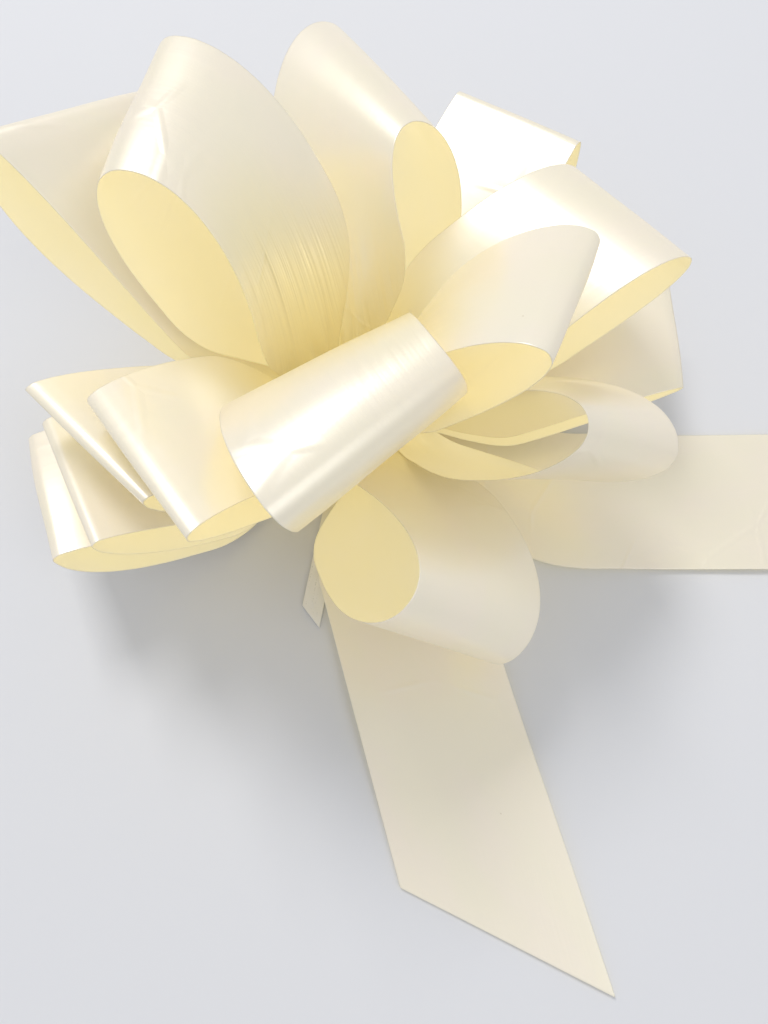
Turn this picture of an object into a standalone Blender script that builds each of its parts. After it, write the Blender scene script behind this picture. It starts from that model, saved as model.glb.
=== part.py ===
"""A pull bow for gift wrapping, gathered, fluffed open and resting on a table.

Two full-width film ribbons are laid face to face and welded together at even steps.
Two narrow pull strings run between them, through every weld. Pulling the strings
stacks the welds into a short column, and each ribbon span between two welds bulges
out as one loop. Past the lowest and the highest weld the ribbons run on as tails.

Metres, +Z up. The strings run along Z. The origin is the centre of the underside of
the base weld, so the table is the plane z = 0.
"""
from collections import namedtuple
from math import cos, pi, radians, sin

import bmesh
import bpy
from mathutils import Matrix, Vector

MM = 0.001

# --- driving dimensions ---------------------------------------------------------
RIBBON_WIDTH = 0.050     # both wide ribbons, edge to edge
FILM = 0.0002            # thickness of one ribbon or string
WAIST = 0.008            # width of a ribbon where a weld pinches it
FLARE_LENGTH = 0.048     # distance over which the waist opens to full width
TURN_LENGTH = 0.030      # distance over which a loop rolls out of the level
CLEARANCE = 0.0003       # gap kept between pieces that touch

WELD_PITCH = 0.0030      # from one weld to the next, once gathered
WELD_RADIUS = 0.0057     # a pinched weld, folded round the strings
WELD_THICKNESS = 0.0014
WELD_SIDES = 20
BASE_FLOOR = 0.0004      # film closed over the underside of the base weld
MOUTH = 0.0005           # how much wider the strings' way out is than their slot
LEG_SPREAD = 0.0024      # between the two legs of a loop at its welds
STEM = 0.003             # how far a loop runs out level before it turns up

STRING_WIDTH = 0.007
STRING_TOP = 0.0020      # how far a string stands out of the highest weld
STRING_BEND = 0.0003     # radius of the inner string's turn inside the base weld
STRING_HEADING = -100.0  # degrees from +X
STRING_LENGTH = 0.070    # from the column to the cut end, along the table
STRING_DROP = 0.006      # distance over which a string comes down to the table

TAIL_RISE = 0.074        # distance from the column over which a tail clears the strings
TAIL_FALL = 0.040        # distance over which it then comes down to the table
DRIFT_LENGTH = 0.072     # distance over which a tail drifts sideways
CUT_SKEW = 0.9           # a cut end's extra length on one edge, as a share of the width

LOOP_ROWS = 29           # straight lines across the ribbon, from waist to waist
TAIL_ROWS = 18           # the same across a tail or a string's free end
TAIL_EASE = 1.3          # above 1, the rows stand closer together near the weld
STRING_EASE = 1.5
BEND_STEPS = 4           # facets of a string's turn

# --- worked out from them -------------------------------------------------------
LAYER = FILM + CLEARANCE
NECK_RADIUS = WELD_RADIUS + CLEARANCE
STRING_HEIGHT = BASE_FLOOR + CLEARANCE + FILM / 2
TUNNEL_TOP = STRING_HEIGHT + LAYER + FILM / 2 + CLEARANCE
TAIL_HEIGHT = STRING_HEIGHT + 2 * LAYER + CLEARANCE
FIRST_LEVEL = TAIL_HEIGHT + 2 * LAYER + LEG_SPREAD / 2
BASE_THICKNESS = FIRST_LEVEL - LEG_SPREAD / 2 - FILM / 2
SLOT_LENGTH = STRING_WIDTH + 2 * CLEARANCE
SLOT_WIDTH = LAYER + FILM + 2 * CLEARANCE

# How each loop is fluffed. Angles in degrees: heading from +X, lift above the level,
# roll about the heading, and twist from neck to tip. In millimetres: reach from the
# neck to the tip, how far the upper and the lower leg belly out, and the sag of the
# tip. Skew and flare make one edge reach further, or stand wider, than the other.
Fluff = namedtuple("Fluff", "heading lift roll twist reach upper lower sag skew flare")
TIERS = [
    (Fluff(-157, 12, -5, 20, 95, 5, 17, 10, -0.35, 0.1),
     Fluff(14, 15, 0, 5, 107, 5, 7, -2, 0, 0.05)),
    (Fluff(116, 13, 5, 5, 104, 8, 13, -4, 0.2, 0),
     Fluff(-70, 22, -15, -40, 96, 23, 18, 16, -0.2, 0.05)),
    (Fluff(-150, 20, -10, 25, 88, 5, 9, 16, -0.1, 0.05),
     Fluff(59, 11, 10, -20, 110, 5, 25, 16, 0.55, -0.1)),
    (Fluff(26, 34, 15, -20, 100, 18, 14, -9, -0.6, 0.1),
     Fluff(-149, 38, -5, 20, 88, 6, 6, 4, -0.15, 0)),
    (Fluff(-26, 23, -40, -20, 91, 21, 13, 16, -0.5, 0.2),
     Fluff(146, 36, -20, 30, 109, 10, 30, 14, -0.3, 0.15)),
    (Fluff(83, 29, -5, -40, 94, 26, 23, 11, 0.6, 0.05),
     Fluff(-132, 55, -10, 10, 88, 8, 7, -11, 0.3, 0)),
    (Fluff(-15, 66, -15, 0, 92, 14, 10, -12, -0.25, 0),
     Fluff(142, 66, -10, 40, 97, 24, 17, -14, -0.5, 0.1)),
    (Fluff(-81, 65, 15, 15, 89, 23, 13, -7, 0.4, -0.2),),
]

# The tails, each with its heading, the lengths of its two edges and its sideways drift.
Tail = namedtuple("Tail", "name heading lengths drift")
TAILS = [
    Tail("lower_tail", -74, (0.148, 0.191), 0.0),
    Tail("side_tail", 0, (0.172, 0.196), -0.028),
]

TOP = FIRST_LEVEL + (len(TIERS) - 0.5) * WELD_PITCH + WELD_THICKNESS / 2


def smooth(share):
    """0 to 1 with no corner at either end."""
    share = min(max(share, 0.0), 1.0)
    return share * share * (3 - 2 * share)


def ribbon_width(distance):
    """Width of a ribbon at a distance from its weld."""
    return WAIST + (RIBBON_WIDTH - WAIST) * smooth(distance / FLARE_LENGTH)


def loop_point(fluff, turn, side):
    """A point of a loop's film: turn runs from 0 to 2 pi, weld to weld, and side is
    -1 or 1 for the two edges. The heading is +X and the loop's level is z = 0."""
    reach = fluff.reach * MM
    run = reach * (1 - cos(turn)) / 2
    share = run / reach
    belly = (fluff.upper if turn < pi else fluff.lower) * MM
    swell = 1 + fluff.flare * side * share
    rise = (belly * sin(turn) * sin(turn / 2) + LEG_SPREAD / 2 * cos(turn / 2)) * swell
    along = run * swell + fluff.skew * side * share * RIBBON_WIDTH / 2
    across = side * ribbon_width(run) / 2
    roll = radians(fluff.roll) * smooth(run / TURN_LENGTH) + radians(fluff.twist) * share
    y = across * cos(roll) - rise * sin(roll)
    up = across * sin(roll) + rise * cos(roll) + fluff.sag * MM * share ** 2
    lift = radians(fluff.lift)
    x = NECK_RADIUS + STEM + along * cos(lift) - up * sin(lift)
    return Vector((x, y, along * sin(lift) + up * cos(lift)))


def loop_rows(fluff):
    """The two edge points of each straight line across a loop, weld to weld."""
    turns = [2 * pi * i / (LOOP_ROWS - 1) for i in range(LOOP_ROWS)]
    span = [[loop_point(fluff, turn, side) for side in (-1, 1)] for turn in turns]
    neck = [[Vector((NECK_RADIUS, side * WAIST / 2, leg * LEG_SPREAD / 2)) for side in (-1, 1)]
            for leg in (1, -1)]
    return [neck[0], *span, neck[1]]


def tail_rows(lengths, drift, layer):
    """Rows of a tail that leaves along +X: the lengths of its two edges, how far it
    drifts sideways on its way out, and which of the two stacked ribbons it is."""
    rows = []
    for i in range(TAIL_ROWS):
        share = (i / (TAIL_ROWS - 1)) ** TAIL_EASE
        row = []
        for side, length in zip((-1, 1), lengths):
            run = (length - NECK_RADIUS) * share
            fall = smooth((run - TAIL_RISE) / TAIL_FALL)
            height = TAIL_HEIGHT + (FILM / 2 - TAIL_HEIGHT) * fall
            y = side * ribbon_width(run) / 2 + drift * smooth(run / DRIFT_LENGTH)
            row.append(Vector((NECK_RADIUS + run, y, height + layer * LAYER)))
        rows.append(row)
    return rows


def string_rows(layer):
    """Rows of a string inside the column: down through the welds, round its turn in
    the base weld and out to the rim. The outer string is layer 0, the inner layer 1."""
    bend = STRING_BEND + (1 - layer) * LAYER
    centre_x = LAYER / 2 + STRING_BEND
    centre_z = STRING_HEIGHT + LAYER + STRING_BEND
    path = [(centre_x - bend, TOP + STRING_TOP)]
    for i in range(BEND_STEPS + 1):
        angle = pi + pi / 2 * i / BEND_STEPS
        path.append((centre_x + bend * cos(angle), centre_z + bend * sin(angle)))
    path.append((NECK_RADIUS, centre_z - bend))
    return [[Vector((x, side * STRING_WIDTH / 2, z)) for side in (-1, 1)] for x, z in path]


def string_end_rows(layer):
    """Rows of a string's free end, from the rim down to the table and out to its cut."""
    start = NECK_RADIUS + CLEARANCE
    high = STRING_HEIGHT + layer * LAYER
    low = FILM / 2 + layer * LAYER
    rows = []
    for i in range(TAIL_ROWS):
        share = i / (TAIL_ROWS - 1)
        row = []
        for side in (-1, 1):
            length = STRING_LENGTH + side * CUT_SKEW * STRING_WIDTH / 2
            x = start + (length - start) * share ** STRING_EASE
            height = high + (low - high) * smooth((x - start) / STRING_DROP)
            row.append(Vector((x, side * STRING_WIDTH / 2, height)))
        rows.append(row)
    return rows


def film_material(name, colour, roughness):
    """Pearly ribbon film."""
    material = bpy.data.materials.new(name)
    material.use_nodes = True
    shader = material.node_tree.nodes["Principled BSDF"]
    shader.inputs["Base Color"].default_value = (*colour, 1)
    shader.inputs["Roughness"].default_value = roughness
    shader.inputs["Metallic"].default_value = 0.0
    return material


def place(name, mesh, height, heading, material):
    """One named piece, its origin on the strings' axis at its own height."""
    piece = bpy.data.objects.new(name, mesh)
    bpy.context.collection.objects.link(piece)
    piece.location.z = height
    piece.rotation_euler.z = radians(heading)
    mesh.materials.append(material)
    return piece


def ribbon(name, rows, height, heading, material):
    """A flat strip of film, bent so that its crosswise lines lie on the given rows."""
    bm = bmesh.new()
    bmesh.ops.create_grid(bm, x_segments=len(rows) - 1, y_segments=1, size=0.5)
    bm.verts.sort(key=lambda vert: vert.co.x * 1000 + vert.co.y)
    for vert, point in zip(bm.verts, (point for row in rows for point in row)):
        vert.co = point
    mesh = bpy.data.meshes.new(name)
    bm.to_mesh(mesh)
    bm.free()
    piece = place(name, mesh, height, heading, material)
    film = piece.modifiers.new("film", "SOLIDIFY")
    film.thickness = FILM
    film.offset = 0
    return piece


def disc(name, thickness, height, heading, material):
    """A pinched weld: a short round pad with its underside at the given height."""
    bm = bmesh.new()
    bmesh.ops.create_cone(
        bm, cap_ends=True, segments=WELD_SIDES, radius1=WELD_RADIUS, radius2=WELD_RADIUS,
        depth=thickness, matrix=Matrix.Translation((0, 0, thickness / 2)))
    mesh = bpy.data.meshes.new(name)
    bm.to_mesh(mesh)
    bm.free()
    return place(name, mesh, height, heading, material)


def cutter(name, low, high):
    """A box that cuts the strings' way through the welds, in the strings' own frame."""
    bm = bmesh.new()
    bmesh.ops.create_cube(bm, size=1)
    size = high - low
    bmesh.ops.scale(bm, vec=size, verts=bm.verts)
    bmesh.ops.translate(bm, vec=(low + high) / 2, verts=bm.verts)
    mesh = bpy.data.meshes.new(name)
    bm.to_mesh(mesh)
    bm.free()
    box = bpy.data.objects.new(name, mesh)
    bpy.context.collection.objects.link(box)
    box.rotation_euler.z = radians(STRING_HEADING)
    box.hide_render = True
    box.display_type = "WIRE"
    return box


def cut(piece, box):
    """Takes the box out of the piece."""
    boolean = piece.modifiers.new(box.name, "BOOLEAN")
    boolean.operation = "DIFFERENCE"
    boolean.solver = "EXACT"
    boolean.object = box


def build_welds(material):
    """The base weld and one weld above every tier, each with the strings' slot."""
    slot = Vector((SLOT_WIDTH / 2, SLOT_LENGTH / 2, TOP + WELD_PITCH))
    mouth = Vector((-slot.x - MOUTH, -slot.y - MOUTH, BASE_FLOOR))
    way_out = cutter("way_out", mouth, Vector((2 * WELD_RADIUS, -mouth.y, TUNNEL_TOP)))
    way_down = cutter("way_down", Vector((-slot.x, -slot.y, TUNNEL_TOP / 2)), slot)
    base = disc("weld_01", BASE_THICKNESS, 0, 0, material)
    cut(base, way_out)
    cut(base, way_down)
    for i in range(len(TIERS)):
        height = FIRST_LEVEL + (i + 0.5) * WELD_PITCH - WELD_THICKNESS / 2
        cut(disc(f"weld_{i + 2:02d}", WELD_THICKNESS, height, 0, material), way_down)


def build_loops(materials):
    """Two loops to a tier, one of each wide ribbon. The highest tier has only one."""
    for tier, pair in enumerate(TIERS):
        for side, fluff in zip(("front", "back"), pair):
            height = FIRST_LEVEL + tier * WELD_PITCH
            name = f"{side}_loop_{tier + 1}"
            ribbon(name, loop_rows(fluff), height, fluff.heading, materials[side])


def build_tails(materials):
    """Both ribbons run on past the welds, one on the other."""
    for tail in TAILS:
        for layer, side in enumerate(("back", "front")):
            rows = tail_rows(tail.lengths, tail.drift, layer)
            ribbon(f"{side}_{tail.name}", rows, 0, tail.heading, materials[side])


def build_strings(material):
    """Two pull strings, each held in the column and free beyond the base weld."""
    for layer, name in enumerate(("outer", "inner")):
        ribbon(f"{name}_pull_string", string_rows(layer), 0, STRING_HEADING, material)
        ribbon(f"{name}_string_end", string_end_rows(layer), 0, STRING_HEADING, material)


def main():
    for old in list(bpy.data.objects):
        bpy.data.objects.remove(old, do_unlink=True)
    materials = {
        "front": film_material("front ribbon", (0.90, 0.86, 0.72), 0.34),
        "back": film_material("back ribbon", (0.88, 0.84, 0.69), 0.36),
    }
    build_welds(film_material("welded film", (0.84, 0.79, 0.62), 0.45))
    build_loops(materials)
    build_tails(materials)
    build_strings(film_material("pull string", (0.93, 0.92, 0.86), 0.40))


main()
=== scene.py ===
# %% [markdown]
# # A ready-made gift bow
#
# The bow is made of ribbon film and nothing else: two full-width ribbons welded face to
# face at even steps and pulled together on two narrow strings. This lesson dresses the
# packed model: every plain strip gets a fine, gathered, slightly crumpled ribbon that
# follows it, with a pearly satin finish. The packed model is only read, never changed.

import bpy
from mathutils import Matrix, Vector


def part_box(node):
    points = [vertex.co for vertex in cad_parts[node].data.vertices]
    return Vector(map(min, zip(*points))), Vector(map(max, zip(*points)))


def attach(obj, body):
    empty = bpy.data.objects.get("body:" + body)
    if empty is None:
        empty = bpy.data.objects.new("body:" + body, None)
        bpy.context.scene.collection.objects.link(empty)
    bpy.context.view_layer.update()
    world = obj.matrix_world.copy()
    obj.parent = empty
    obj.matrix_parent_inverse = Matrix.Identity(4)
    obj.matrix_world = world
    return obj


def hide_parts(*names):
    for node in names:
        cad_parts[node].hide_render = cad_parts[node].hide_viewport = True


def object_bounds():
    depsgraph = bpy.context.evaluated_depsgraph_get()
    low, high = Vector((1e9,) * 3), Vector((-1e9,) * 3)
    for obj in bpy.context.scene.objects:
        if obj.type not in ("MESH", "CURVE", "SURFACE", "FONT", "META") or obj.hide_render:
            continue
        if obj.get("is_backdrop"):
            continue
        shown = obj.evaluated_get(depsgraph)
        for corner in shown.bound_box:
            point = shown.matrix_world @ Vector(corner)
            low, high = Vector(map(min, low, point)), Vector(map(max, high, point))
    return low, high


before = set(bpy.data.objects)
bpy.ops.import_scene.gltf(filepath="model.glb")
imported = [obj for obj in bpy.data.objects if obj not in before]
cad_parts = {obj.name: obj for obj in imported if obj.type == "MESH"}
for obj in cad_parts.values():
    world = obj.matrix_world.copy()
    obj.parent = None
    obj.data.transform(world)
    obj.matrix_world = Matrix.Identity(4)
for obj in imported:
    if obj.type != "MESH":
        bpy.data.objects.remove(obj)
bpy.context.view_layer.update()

# %% Modules
from math import cos, pi, radians, sin

import bmesh
import bpy
import numpy as np
from mathutils import Vector
from mathutils.kdtree import KDTree

MM = 0.001
print("quick trial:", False)

# %% [markdown]
# ## The camera
#
# The bow is seen from nearly overhead, a little from the front, at about an arm's
# length of a phone. A camera can be aimed with a Track To constraint, but the direction
# and the distance written out keep the view exact: it stands on the -Y side, 70 degrees
# above the table.

# %% Camera
ELEVATION = 70.0
DISTANCE = 0.257
LOOK_AT = Vector((0.012, -0.032, 0.0))
LENS = 26.0

camera_data = bpy.data.cameras.new("camera")
camera_data.sensor_fit = "VERTICAL"
camera_data.sensor_height = 36.0
camera_data.lens = LENS
camera_data.clip_start = 0.01
camera = bpy.data.objects.new("camera", camera_data)
bpy.context.scene.collection.objects.link(camera)
tilt = radians(ELEVATION)
camera.location = LOOK_AT + Vector((0, -cos(tilt), sin(tilt))) * DISTANCE
camera.rotation_euler = (pi / 2 - tilt, 0, 0)
bpy.context.scene.camera = camera
print("camera at", [round(v, 3) for v in camera.location])

# %% [markdown]
# ## Light and table
#
# Soft daylight from above: one broad lamp gives the long highlights along the bent film,
# a second one fills from the front, and a pale world lifts the shadows. The table is a
# plain pale sheet.

# %% Light
scene = bpy.context.scene
scene.view_settings.view_transform = "Standard"


def area_lamp(name, place, aim, size, power, colour):
    """A soft square lamp that looks at a point."""
    lamp = bpy.data.lights.new(name, "AREA")
    lamp.size = size
    lamp.energy = power
    lamp.color = colour
    holder = bpy.data.objects.new(name, lamp)
    holder.location = place
    holder.rotation_euler = (Vector(aim) - Vector(place)).to_track_quat("-Z", "Y").to_euler()
    scene.collection.objects.link(holder)
    return holder


area_lamp("window", (-0.45, 1.0, 1.5), (0.0, 0.0, 0.02), 0.6, 16.0, (1.0, 0.985, 0.975))
area_lamp("fill", (0.9, -0.7, 1.2), (0.0, 0.0, 0.02), 0.8, 3.0, (0.98, 0.985, 1.0))
world = bpy.data.worlds.new("daylight")
world.use_nodes = True
world.node_tree.nodes["Background"].inputs["Color"].default_value = (0.86, 0.88, 0.93, 1)
world.node_tree.nodes["Background"].inputs["Strength"].default_value = 0.72
scene.world = world

# %% Table
floor_mesh = bpy.data.meshes.new("table")
bm = bmesh.new()
bmesh.ops.create_grid(bm, x_segments=1, y_segments=1, size=2.0)
bm.to_mesh(floor_mesh)
bm.free()
floor = bpy.data.objects.new("table", floor_mesh)
floor.location.z = -0.0002
scene.collection.objects.link(floor)
floor_material = bpy.data.materials.new("table top")
floor_material.use_nodes = True
floor_shader = floor_material.node_tree.nodes["Principled BSDF"]
floor_shader.inputs["Base Color"].default_value = (0.70, 0.705, 0.72, 1)
floor_shader.inputs["Roughness"].default_value = 0.9
floor_mesh.materials.append(floor_material)
floor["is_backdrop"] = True
print("table laid at", floor.location.z)

# %% [markdown]
# ## Maths on shader sockets
#
# A finish is a sum of patterns. Wrapping a socket in a small class lets the sums be
# written as sums, instead of as a long list of nodes and links.

# %% A socket that can be added and multiplied
class Wire:
    """The output of a shader node, used in sums as a number would be."""

    def __init__(self, tree, socket):
        self.tree, self.socket = tree, socket

    def math(self, operation, other=None, flipped=False, clamp=False):
        node = self.tree.nodes.new("ShaderNodeMath")
        node.operation, node.use_clamp = operation, clamp
        pair = (other, self) if flipped else (self, other)
        for slot, value in zip(node.inputs, pair):
            connect(self.tree, slot, value)
        return Wire(self.tree, node.outputs[0])

    def __add__(self, other):
        return self.math("ADD", other)

    def __sub__(self, other):
        return self.math("SUBTRACT", other)

    def __rsub__(self, other):
        return self.math("SUBTRACT", other, flipped=True)

    def __mul__(self, other):
        return self.math("MULTIPLY", other)

    __radd__, __rmul__ = __add__, __mul__

    def between(self, low, high):
        """0 below low, 1 above high, and smooth between them."""
        node = self.tree.nodes.new("ShaderNodeMapRange")
        node.interpolation_type = "SMOOTHSTEP"
        for slot, value in zip(node.inputs, (self, low, high, 0.0, 1.0)):
            connect(self.tree, slot, value)
        return Wire(self.tree, node.outputs[0])


def connect(tree, slot, value):
    """Links a wire to a socket, or sets the socket's constant."""
    if isinstance(value, Wire):
        tree.links.new(value.socket, slot)
    elif value is not None:
        slot.default_value = value


print("wire methods:", len(vars(Wire)))

# %% [markdown]
# ## Ribbon film
#
# The ribbon is thin polypropylene film with a pearl lacquer. It shows a creamy ivory
# where light falls on it, a warmer yellow, painted on the inside face, where light comes
# through it, and soft satin highlights. Fine grain, faint bending creases and a few specks
# keep it from looking like plain plastic. The patterns read the ribbon's own coordinates,
# in metres along and across the strip, so they stay at their real scale. Close to the
# column, where many layers press together, the film is gathered into fine folds, and a
# deeper yellow is painted there for the light that bounces between the crowded layers.
# How close a place is to the column is read from the Object coordinates.

# %% A maker of film finishes
NEAR_COLUMN = (0.012, 0.044)  # where the deep folds begin to fade, and where they end


class Finish:
    """A material in the making: patterns on a strip's own coordinates."""

    def __init__(self, name):
        self.material = bpy.data.materials.new(name)
        self.material.use_nodes = True
        self.tree = self.material.node_tree
        self.shader = self.tree.nodes["Principled BSDF"]
        self.place = self.add("ShaderNodeUVMap", "UV")
        spot = self.add("ShaderNodeTexCoord", "Object")
        flat = self.add("ShaderNodeMapping", "Vector", Vector=spot, Scale=(1, 1, 0))
        radius = self.add("ShaderNodeVectorMath", "Value", {"operation": "LENGTH"}, Vector=flat)
        self.near_column = 1 - radius.between(*NEAR_COLUMN)

    def add(self, kind, output, settings=(), **values):
        """One node: its settings, then its inputs by name."""
        node = self.tree.nodes.new(kind)
        for key, value in dict(settings).items():
            setattr(node, key, value)
        for key, value in values.items():
            connect(self.tree, node.inputs[key.replace("_", " ")], value)
        return Wire(self.tree, node.outputs[output])

    def stretched(self, along, across, shift=0.0):
        """The strip's coordinates, scaled differently along and across it."""
        return self.add(
            "ShaderNodeMapping", "Vector", Vector=self.place, Scale=(along, across, 1),
            Location=(shift, shift / 2, shift / 3))

    def noise(self, along, across, detail=2.0, shift=0.0):
        place = self.stretched(along, across, shift)
        return self.add("ShaderNodeTexNoise", "Fac", Vector=place, Scale=1.0, Detail=detail)

    def mix(self, factor, first, second):
        """A blend of two colours."""
        node = self.tree.nodes.new("ShaderNodeMix")
        node.data_type = "RGBA"
        for slot, value in zip((node.inputs[0], node.inputs[6], node.inputs[7]),
                               (factor, first, second)):
            connect(self.tree, slot, value)
        return Wire(self.tree, node.outputs[2])

    def set(self, **values):
        for key, value in values.items():
            connect(self.tree, self.shader.inputs[key.replace("_", " ")], value)


print("finish methods:", [k for k in vars(Finish) if not k.startswith("_")])

# %% [markdown]
# The film's two faces and its cut edge are three finishes of one recipe. The outside is
# the creamier face, with a pearl that a little metal in the shader gives. The inside is
# painted a yellower tint for the light that comes through the film, and a faint painted
# glow of its own stands for the light that bounces about between the layers. A thin edge
# catches the light. A Translucent shader mixed in lets light through the film.

# %% Film finishes
OUTSIDE = ((0.95, 0.915, 0.805, 1), (0.96, 0.905, 0.825, 1))
# The inside tints are the film's ivory painted yellower for light coming through the film and bouncing
# between the layers.
INSIDE = ((0.95, 0.91, 0.72, 1), (0.95, 0.92, 0.78, 1))
PAINTED_BOUNCE_YELLOW = (0.96, 0.87, 0.50, 1)


def film(name, colours, glow, roughness=0.30, light=0.0, pearl=0.2):
    """Pearly satin film: its two tints, how much light comes through it, its roughness,
    how much light caught between the layers it gives back, and how pearly it is."""
    paint = Finish(name)
    cloud = paint.noise(28, 40, detail=3.0).between(0.35, 0.68)
    colour = paint.mix(cloud, *colours)
    cells = paint.add("ShaderNodeTexVoronoi", "Distance", Vector=paint.stretched(95, 95), Scale=1.0)
    lint = paint.noise(60, 60, detail=0.0, shift=7.0).between(0.60, 0.66)
    speck = (1 - cells.between(0.012, 0.03)) * lint
    colour = paint.mix(speck * 0.55, colour, (0.42, 0.34, 0.22, 1))
    # Painted light: a deeper yellow near the column for light bounced between the crowded layers.
    colour = paint.mix(paint.near_column * 0.75, colour, PAINTED_BOUNCE_YELLOW)
    grain = paint.noise(1800, 1800, detail=1.0)
    combed = paint.noise(45, 900, detail=2.0, shift=3.0)
    bends = paint.noise(120, 6, detail=2.0, shift=11.0)
    creases = paint.add(
        "ShaderNodeTexVoronoi", "Distance", {"feature": "DISTANCE_TO_EDGE"},
        Vector=paint.stretched(38, 24, 5.0), Scale=1.0)
    folded = paint.noise(14, 20, detail=1.0, shift=23.0).between(0.52, 0.66)
    ridge = (1 - creases.between(0.0, 0.05)) * folded
    gathers = paint.noise(10, 330, detail=2.0, shift=17.0) * paint.near_column
    height = grain * 0.006 + combed * 0.02 + bends * 0.05 + ridge * 0.10 + gathers * 0.9
    bump = paint.add("ShaderNodeBump", "Normal", Strength=1.0, Distance=0.0012, Height=height)
    paint.set(
        Base_Color=colour, Roughness=roughness + 0.10 * combed + 0.10 * grain - 0.06,
        Normal=bump, Specular_IOR_Level=0.62, IOR=1.49, Coat_Weight=0.25,
        Coat_Roughness=0.16, Specular_Tint=(1.0, 0.95, 0.93, 1), Metallic=pearl,
        # Emission: a painted glow for light bounced between the layers, used on the inside face only.
        Emission_Color=(1.0, 0.93, 0.62, 1), Emission_Strength=light)
    through = paint.tree.nodes.new("ShaderNodeBsdfTranslucent")
    through.inputs["Color"].default_value = (1.0, 0.955, 0.80, 1)
    both = paint.tree.nodes.new("ShaderNodeMixShader")
    both.inputs[0].default_value = glow
    paint.tree.links.new(paint.shader.outputs[0], both.inputs[1])
    paint.tree.links.new(through.outputs[0], both.inputs[2])
    paint.tree.links.new(both.outputs[0], paint.tree.nodes["Material Output"].inputs["Surface"])
    return paint.material


outside = film("pearl film outside", OUTSIDE, 0.22, 0.30, pearl=0.35)
inside = film("pearl film inside", INSIDE, 0.40, 0.33, 0.30)
cut_edge = film("pearl film edge", ((0.93, 0.90, 0.80, 1), (0.93, 0.90, 0.80, 1)), 0.30, 0.4)
string_film = film("string film", ((0.92, 0.91, 0.87, 1), (0.94, 0.93, 0.90, 1)), 0.12, 0.26)
welded = film("welded film", ((0.84, 0.78, 0.58, 1), (0.86, 0.81, 0.64, 1)), 0.20, 0.42)
print("finishes:", [m.name for m in bpy.data.materials if "film" in m.name])

# %% [markdown]
# ## Following the packed strips
#
# Each loop and tail of the packed model is a plain bent strip. A fine ribbon has to lie
# where that strip lies. The strip's two long edges are read back from the packed mesh:
# the points of both faces are paired through the film's thickness, and the faces that
# span only two such pairs are the strip's narrow rim, which links the pairs into a ring.
# Where a tail or a string lies quite flat, its packed mesh has no rows in between, so
# they are put back there, which keeps a smooth curve through them from sagging.

# %% Reading a strip's edges
def rim_points(node):
    """The ring of points round a packed strip, halfway through its film."""
    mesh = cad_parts[node].data
    places = np.array([vert.co for vert in mesh.vertices])
    points, index = np.unique(np.round(places, 6), axis=0, return_inverse=True)
    index = index.reshape(-1)
    tree = KDTree(len(points))
    for i, point in enumerate(points):
        tree.insert(point, i)
    tree.balance()
    other = [tree.find_n(point, 2)[1][1] for point in points]
    pair = [min(i, other[i]) for i in range(len(points))]
    middle = {p: (points[p] + points[other[p]]) / 2 for p in set(pair)}
    links = {p: set() for p in middle}
    for face in mesh.polygons:
        ends = {pair[index[i]] for i in face.vertices}
        if len(ends) == 2:
            first, second = ends
            links[first].add(second)
            links[second].add(first)
    ring = [min(links)]
    while len(ring) < len(links):
        onward = [p for p in links[ring[-1]] if p not in ring[-2:]]
        ring.append(onward[0])
    return np.array([middle[p] for p in ring])


def strip_rows(node):
    """Pairs of edge points across a packed strip, from the end nearest the strings."""
    ring = rim_points(node)
    count = len(ring) // 2
    halfway = (ring + np.roll(ring, -1, axis=0)) / 2
    start = int(np.argmin(np.hypot(halfway[:, 0], halfway[:, 1])))
    first = [(start - i) % len(ring) for i in range(count)]
    second = [(start + 1 + i) % len(ring) for i in range(count)]
    return np.stack([ring[first], ring[second]], axis=1)


def filled(rows, step):
    """The same rows, with more of them wherever two are further apart than a step."""
    out = [rows[0]]
    for here, there in zip(rows[:-1], rows[1:]):
        parts = int(np.linalg.norm((there - here).mean(axis=0)) / step) + 1
        out += [here + (there - here) * i / parts for i in range(1, parts + 1)]
    return np.array(out)


TAIL_STEP, STRING_STEP = 16 * MM, 5 * MM
traced = {}
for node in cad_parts:
    if "loop" in node:
        traced[node] = strip_rows(node)
    elif "tail" in node:
        traced[node] = filled(strip_rows(node), TAIL_STEP)
    elif "string_end" in node:
        traced[node] = filled(strip_rows(node), STRING_STEP)
strips = list(traced)
print({node: len(rows) for node, rows in list(traced.items())[:4]})

# %% [markdown]
# A smooth ribbon needs many more rows than the plain strip has. A cubic curve through
# the rows keeps both edges smooth, and rows at even distances keep the weave of faces
# even. Blender's own curves could do this, but both edges have to stay in step.

# %% Smooth rows
def spaced(rows, count):
    """Rows at even distances along a strip, on a smooth curve through the given ones."""
    steps = np.linalg.norm(np.diff(rows.mean(axis=1), axis=0), axis=1)
    run = np.concatenate([[0], np.cumsum(steps)])
    slope = np.gradient(rows, run, axis=0)
    wanted = np.linspace(0, run[-1], count)
    at = np.clip(np.searchsorted(run, wanted, side="right") - 1, 0, len(run) - 2)
    width = (run[at + 1] - run[at])[:, None, None]
    t = ((wanted - run[at]) / (run[at + 1] - run[at]))[:, None, None]
    return (
        rows[at] * (2 * t**3 - 3 * t**2 + 1)
        + rows[at + 1] * (3 * t**2 - 2 * t**3)
        + slope[at] * width * (t**3 - 2 * t**2 + t)
        + slope[at + 1] * width * (t**3 - t**2)
    ), wanted


distances = spaced(traced[strips[0]], 60)[1]
print("strip", strips[0], "is", round(distances[-1] / MM), "mm long")

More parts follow.
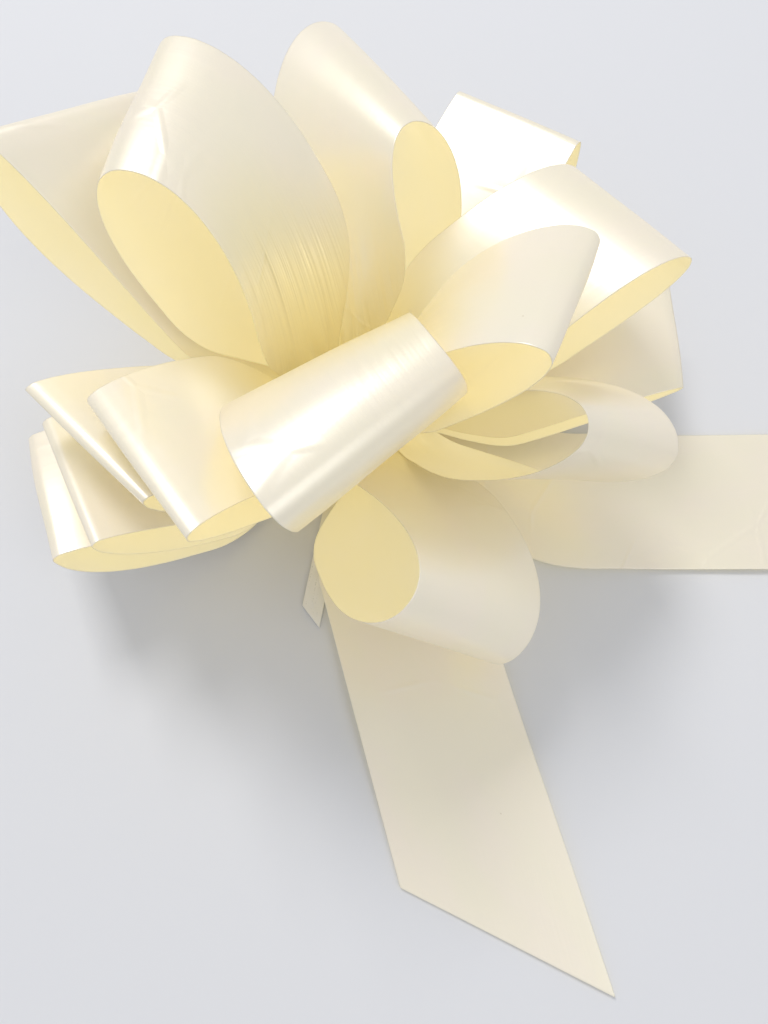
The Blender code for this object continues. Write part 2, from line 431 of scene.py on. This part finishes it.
# %% [markdown]
# ## The fine ribbon
#
# A real span is gathered where the weld pinches it: small pleats fan out from the waist
# and die away. Further out the film bows a little across its width, and its edges are
# never quite straight. A grid gives the faces; each of its points is then put on the
# strip and pushed along the film's own normal by those small shapes. A Solidify modifier
# gives the film its thickness, its inside face and its cut edge.

# %% Pleats, bow and waves
ALONG = 220
ACROSS = 26
FILM = 0.16 * MM
BORDER = 0.012


def wave(rng, along, across, reach=0.06):
    """A slow random wave over a strip, between about -1 and 1."""
    total = 0
    for _ in range(4):
        length, slant, phase = rng.uniform(reach, 3 * reach), rng.uniform(-9, 9), rng.uniform(0, 6.3)
        total = total + np.sin(2 * pi * along / length + slant * across / 0.05 + phase)
    return total / 4


def relief(rng, along, across, neck, fold=0.8 * MM, bow=0.45 * MM, loose=0.35 * MM):
    """How far the film stands off the plain strip: pleats near a neck, a bow, waves.
    neck is the distance to the nearest weld, and across runs from -1 to 1."""
    fade = np.clip(neck / 0.012, 0, 1) * np.clip((0.055 - neck) / 0.043, 0, 1) ** 1.5
    pleats = np.sin(across * rng.uniform(6.0, 9.0) + rng.uniform(0, 6.3) + 0.9 * np.sin(3 * across))
    open_part = np.clip(neck / 0.03, 0, 1)
    sway = wave(rng, along, across * 0.025)
    return fade * pleats * fold + open_part * ((1 / 3 - across**2) * bow + sway * loose)


rng = np.random.default_rng(5)
print("relief sample (mm):", round(float(relief(rng, 0.03, 0.2, 0.03)) / MM, 3))

# %% One ribbon
def across_lines(count):
    """Places across a ribbon, -1 to 1, with a narrow border line inside each edge."""
    inner = np.linspace(-1 + BORDER, 1 - BORDER, count - 1)
    return np.concatenate([[-1], inner, [1]])


def fine_ribbon(name, rows, seed, both_necks, finishes, lift=None, **shape):
    """A fine ribbon along a packed strip's rows, in the row frame."""
    rng = np.random.default_rng(seed)
    rows, run = spaced(rows, ALONG)
    lines = across_lines(ACROSS)
    share = (lines + 1) / 2
    skin = rows[:, :1] * (1 - share)[None, :, None] + rows[:, 1:] * share[None, :, None]
    normal = np.cross(np.gradient(skin, axis=0), np.gradient(skin, axis=1))
    normal /= np.linalg.norm(normal, axis=2, keepdims=True)
    outward = ((skin - skin.mean(axis=(0, 1))) * normal).sum() if both_necks else normal[..., 2].sum()
    side = 1 if outward > 0 else -1
    normal *= side
    neck = np.minimum(run, run[-1] - run) if both_necks else run
    off = relief(rng, run[:, None], lines[None, :], neck[:, None], **shape)
    skin = skin + normal * off[..., None]
    if lift is not None:
        skin[..., 2] += lift(run[:, None], lines[None, :])
    skin[..., 2] = np.maximum(skin[..., 2], FILM)
    bm = bmesh.new()
    uv = bm.loops.layers.uv.new("UVMap")
    bmesh.ops.create_grid(bm, x_segments=ALONG - 1, y_segments=ACROSS, size=0.5)
    widths = np.linalg.norm(rows[:, 0] - rows[:, 1], axis=1)
    flat = {}
    for vert in bm.verts:
        i = round((vert.co.x + 0.5) * (ALONG - 1))
        j = round((vert.co.y + 0.5) * ACROSS)
        flat[vert] = (run[i] + seed * 0.37, lines[j] * widths[i] / 2)
        vert.co = skin[i, j]
    for face in bm.faces:
        face.smooth = True
        for corner in face.loops:
            corner[uv].uv = flat[corner.vert]
    if side < 0:
        bmesh.ops.reverse_faces(bm, faces=bm.faces)
    mesh = bpy.data.meshes.new(name)
    bm.to_mesh(mesh)
    bm.free()
    piece = bpy.data.objects.new(name, mesh)
    scene.collection.objects.link(piece)
    for material in finishes:
        mesh.materials.append(material)
    thick = piece.modifiers.new("film thickness", "SOLIDIFY")
    thick.thickness, thick.offset = FILM, 0
    thick.material_offset, thick.material_offset_rim = 1, 2
    even = piece.modifiers.new("even shading", "WEIGHTED_NORMAL")
    even.keep_sharp = True
    return piece, run[-1], float((widths[1:] + widths[:-1]) / 2 @ np.diff(run))


RIBBON = (outside, inside, cut_edge)
print("grid of a ribbon:", ALONG, "by", ACROSS + 1)

# %% [markdown]
# ## The loops
#
# Fifteen spans fan out of the column, each one swivelling on the strings, so each
# fine loop rides on its own body. A loop is a gathered sheet: its flat size is the
# ribbon's width by the length between two welds. Where loops are pressed close together
# they keep each other flat, so those take smaller pleats and waves.

# %% Loops
PRESSED = {"back_loop_2", "back_loop_3", "back_loop_4", "back_loop_6", "front_loop_3",
           "front_loop_4", "front_loop_5"}
CALM = {"fold": 0.35 * MM, "bow": 0.12 * MM, "loose": 0.10 * MM}
loops = sorted(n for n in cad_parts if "loop" in n)
for number, node in enumerate(loops):
    shape = CALM if node in PRESSED else {}
    piece, length, area = fine_ribbon(
        f"fine_{node}", traced[node], 11 + number, True, RIBBON, **shape)
    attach(piece, node)
    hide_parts(node)
    print(node, "span", round(length / MM), "mm, film", round(area * 1e4), "square cm")

# %% [markdown]
# ## The tails
#
# Below the base weld both ribbons run on, one on the other, and lie on the table. The
# film keeps a lazy wave from having been rolled up, which is what draws the broad soft
# band of light across it. Both layers take the same wave, so they stay together.

# %% Tails
TAIL_WAVES = {"lower_tail": (0.118, 0.030, 1.7 * MM), "side_tail": (0.150, 0.034, 1.2 * MM)}


def tail_wave(middle, reach, height):
    """A low swell across a tail, at a distance from the weld."""
    def rise(along, across):
        swell = np.exp(-(((along - middle - 0.006 * across) / reach) ** 2))
        curl = np.clip((along - middle - reach) / 0.05, 0, 1) ** 2 * across**2
        return height * swell + 0.8 * MM * curl
    return rise


for number, tail in enumerate(sorted(TAIL_WAVES)):
    for layer in ("back", "front"):
        node = f"{layer}_{tail}"
        piece, length, area = fine_ribbon(
            f"fine_{node}", traced[node], 40 + number, False, RIBBON,
            lift=tail_wave(*TAIL_WAVES[tail]), fold=0.25 * MM, bow=0.0, loose=0.1 * MM)
        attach(piece, tail)
        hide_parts(node)
        print(node, round(length / MM), "mm along its middle")

# %% [markdown]
# ## The pull strings
#
# Two narrow strings leave the base weld and lie on the table, one on the other, with
# slanted ends. They are free cords.

# %% String ends
STRING = (string_film, string_film, cut_edge)
for number, node in enumerate(("outer_string_end", "inner_string_end")):
    piece, length, area = fine_ribbon(
        f"fine_{node}", traced[node], 50 + number, False, STRING,
        fold=0.0, bow=0.0, loose=0.0)
    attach(piece, "column")
    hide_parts(node)
    print(node, round(length / MM), "mm long")

# %% [markdown]
# Inside the column the strings run straight down through the welds, one against the
# other, and turn outwards in the base weld. Their free ends give the height, the width
# and the heading of the way out, so the hidden part is laid to meet them.

# %% Strings in the column
SPACING = 0.5 * MM
TURN = 0.3 * MM


def column_rows(end_rows, top, inset, bend):
    """Rows of a string from the top of the column, round its turn, to its free end."""
    start = end_rows[0].mean(axis=0)
    across = (end_rows[0, 1] - end_rows[0, 0]) / 2
    reach = float(np.hypot(*start[:2]))
    way_out = np.array([start[0], start[1], 0]) / reach
    path = [(inset, z) for z in np.linspace(top, start[2] + bend, 40)]
    for turn in np.linspace(0, pi / 2, 9)[1:]:
        path.append((inset + bend * (1 - cos(turn)), start[2] + bend * (1 - sin(turn))))
    path += [(x, start[2]) for x in np.linspace(inset + bend, reach - SPACING, 9)[1:]]
    return np.array([[way_out * x + side * across + (0, 0, z) for side in (-1, 1)] for x, z in path])


for number, name in enumerate(("outer", "inner")):
    node = f"{name}_pull_string"
    inset = (number - 0.5) * SPACING
    rows = column_rows(traced[f"{name}_string_end"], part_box(node)[1].z, inset,
                       TURN + (1 - number) * SPACING)
    piece, length, area = fine_ribbon(
        f"fine_{node}", rows, 60 + number, False, STRING, fold=0.0, bow=0.0, loose=0.0)
    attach(piece, "column")
    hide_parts(node)
    print(node, round(length / MM), "mm in the column")

# %% [markdown]
# ## The welds
#
# Each weld is the pressed, puckered notch of both ribbons, folded round the strings. A
# round pad with radial puckers, thickest at its rim, stands for it. The slot for the
# strings is left open by starting the spin outside it.

# %% Welds
def puckered(name, low, high, seed):
    """A pressed weld: a ring of film with radial puckers, between two heights."""
    rng = np.random.default_rng(seed)
    outer, inner = (high.x - low.x) / 2, 4.3 * MM
    phase = rng.uniform(0, 6.3, 3)
    bm = bmesh.new()
    bmesh.ops.create_grid(bm, x_segments=96, y_segments=4, size=0.5)
    for vert in bm.verts:
        turn, share = (vert.co.x + 0.5) * 2 * pi, vert.co.y + 0.5
        fold = sin(9 * turn + phase[0]) + 0.6 * sin(14 * turn + phase[1]) + 0.4 * sin(5 * turn + phase[2])
        radius = inner + (outer - inner) * share - 0.00012 * (1 + fold / 2) * share
        height = (low.z + high.z) / 2 + fold / 2 * share * (high.z - low.z) * 0.22
        vert.co = (radius * cos(turn), radius * sin(turn), height)
    bmesh.ops.remove_doubles(bm, verts=bm.verts, dist=1e-6)
    for face in bm.faces:
        face.smooth = True
    uv = bm.loops.layers.uv.new("UVMap")
    for face in bm.faces:
        for corner in face.loops:
            corner[uv].uv = (corner.vert.co.x, corner.vert.co.y)
    mesh = bpy.data.meshes.new(name)
    bm.to_mesh(mesh)
    bm.free()
    mesh.materials.append(welded)
    piece = bpy.data.objects.new(name, mesh)
    scene.collection.objects.link(piece)
    pressed = piece.modifiers.new("pressed layers", "SOLIDIFY")
    pressed.thickness, pressed.offset = (high.z - low.z) * 0.5, 0
    return piece


welds = sorted(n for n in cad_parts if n.startswith("weld"))
for number, node in enumerate(welds):
    low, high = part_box(node)
    piece = puckered(f"fine_{node}", low, high, 70 + number)
    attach(piece, "column")
    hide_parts(node)
print("welds dressed:", len(welds))

# %% [markdown]
# ## The dressed size
#
# The dressed bow has to stay the size of the packed one, but for the little that soft
# film may stand proud, so its box is printed.

# %% Sizes
low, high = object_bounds()
print("dressed box (mm):", [round(v / MM, 1) for v in (*low, *high)])
